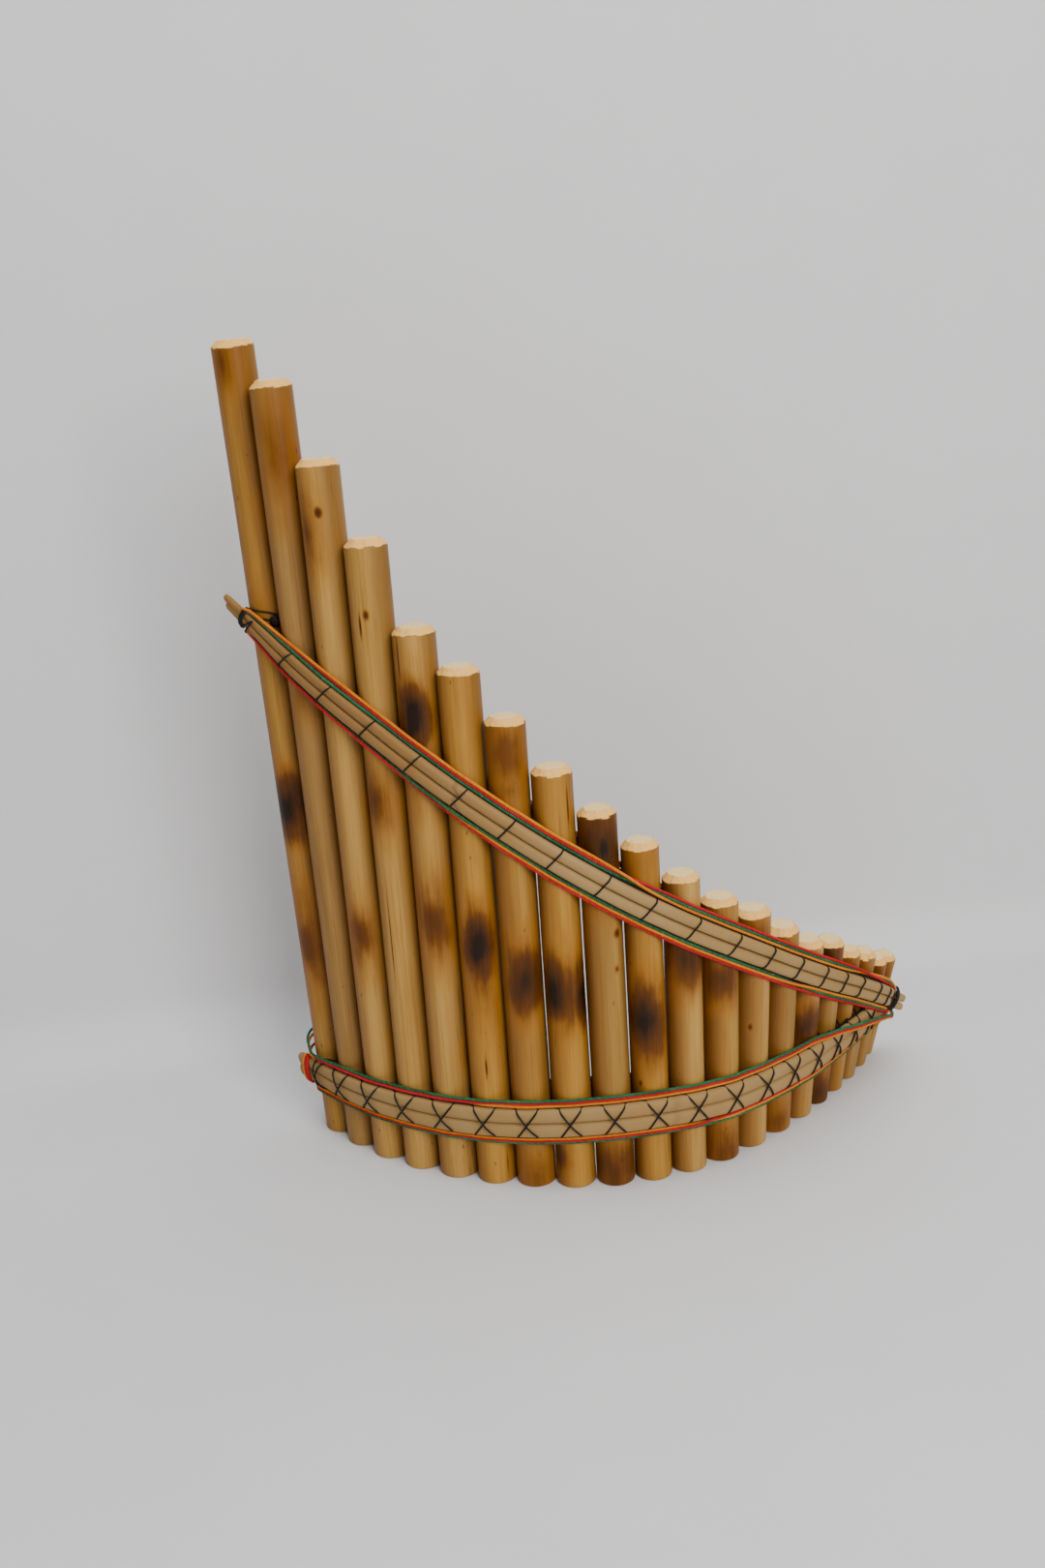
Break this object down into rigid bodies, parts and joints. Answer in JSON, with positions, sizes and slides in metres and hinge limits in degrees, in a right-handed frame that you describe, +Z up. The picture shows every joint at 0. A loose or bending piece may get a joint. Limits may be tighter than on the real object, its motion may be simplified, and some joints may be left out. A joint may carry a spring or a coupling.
{
  "type": "pan flute",
  "caption": "Curved pan flute of stopped cane pipes in falling length, bound by two bands of split cane with black thread and coloured cords, standing on its mouths.",
  "frame": {"origin": "on the plane that the mouths stand on, under the middle of the bounding box", "axes": "+Z up, from the mouths to the closed ends; +X along the row from the longest pipe to the shortest; -Y out of the convex side"},
  "size_m": [0.2919, 0.1029, 0.3452],
  "materials": {
    "cane": "satin, flame-burnt in patches",
    "split_cane": "satin, pale",
    "black_thread": "waxed thread",
    "green_cord": "twisted cord",
    "red_cord": "twisted cord",
    "orange_cord": "twisted cord"
  },
  "bodies": {
    "root": {"pipe_01": "cane", "pipe_02": "cane", "pipe_03": "cane", "pipe_04": "cane", "pipe_05": "cane", "pipe_06": "cane", "pipe_07": "cane", "pipe_08": "cane", "pipe_09": "cane", "pipe_10": "cane", "pipe_11": "cane", "pipe_12": "cane", "pipe_13": "cane", "pipe_14": "cane", "pipe_15": "cane", "pipe_16": "cane", "pipe_17": "cane", "pipe_18": "cane", "pipe_19": "cane", "pipe_20": "cane", "upper_front_strip_top": "split_cane", "upper_front_strip_bottom": "split_cane", "upper_back_strip_top": "split_cane", "upper_back_strip_bottom": "split_cane", "lower_front_strip_top": "split_cane", "lower_front_strip_bottom": "split_cane", "lower_back_strip_top": "split_cane", "lower_back_strip_bottom": "split_cane", "upper_lashing": "black_thread", "lower_lashing": "black_thread", "upper_left_binding": "black_thread", "upper_left_knot": "black_thread", "right_binding": "black_thread", "upper_green_cord": "green_cord", "upper_red_cord": "red_cord", "upper_orange_cord": "orange_cord", "lower_green_cord": "green_cord", "lower_red_cord": "red_cord", "lower_orange_cord": "orange_cord", "lower_left_wrap": "red_cord"}
  },
  "joints": []
}
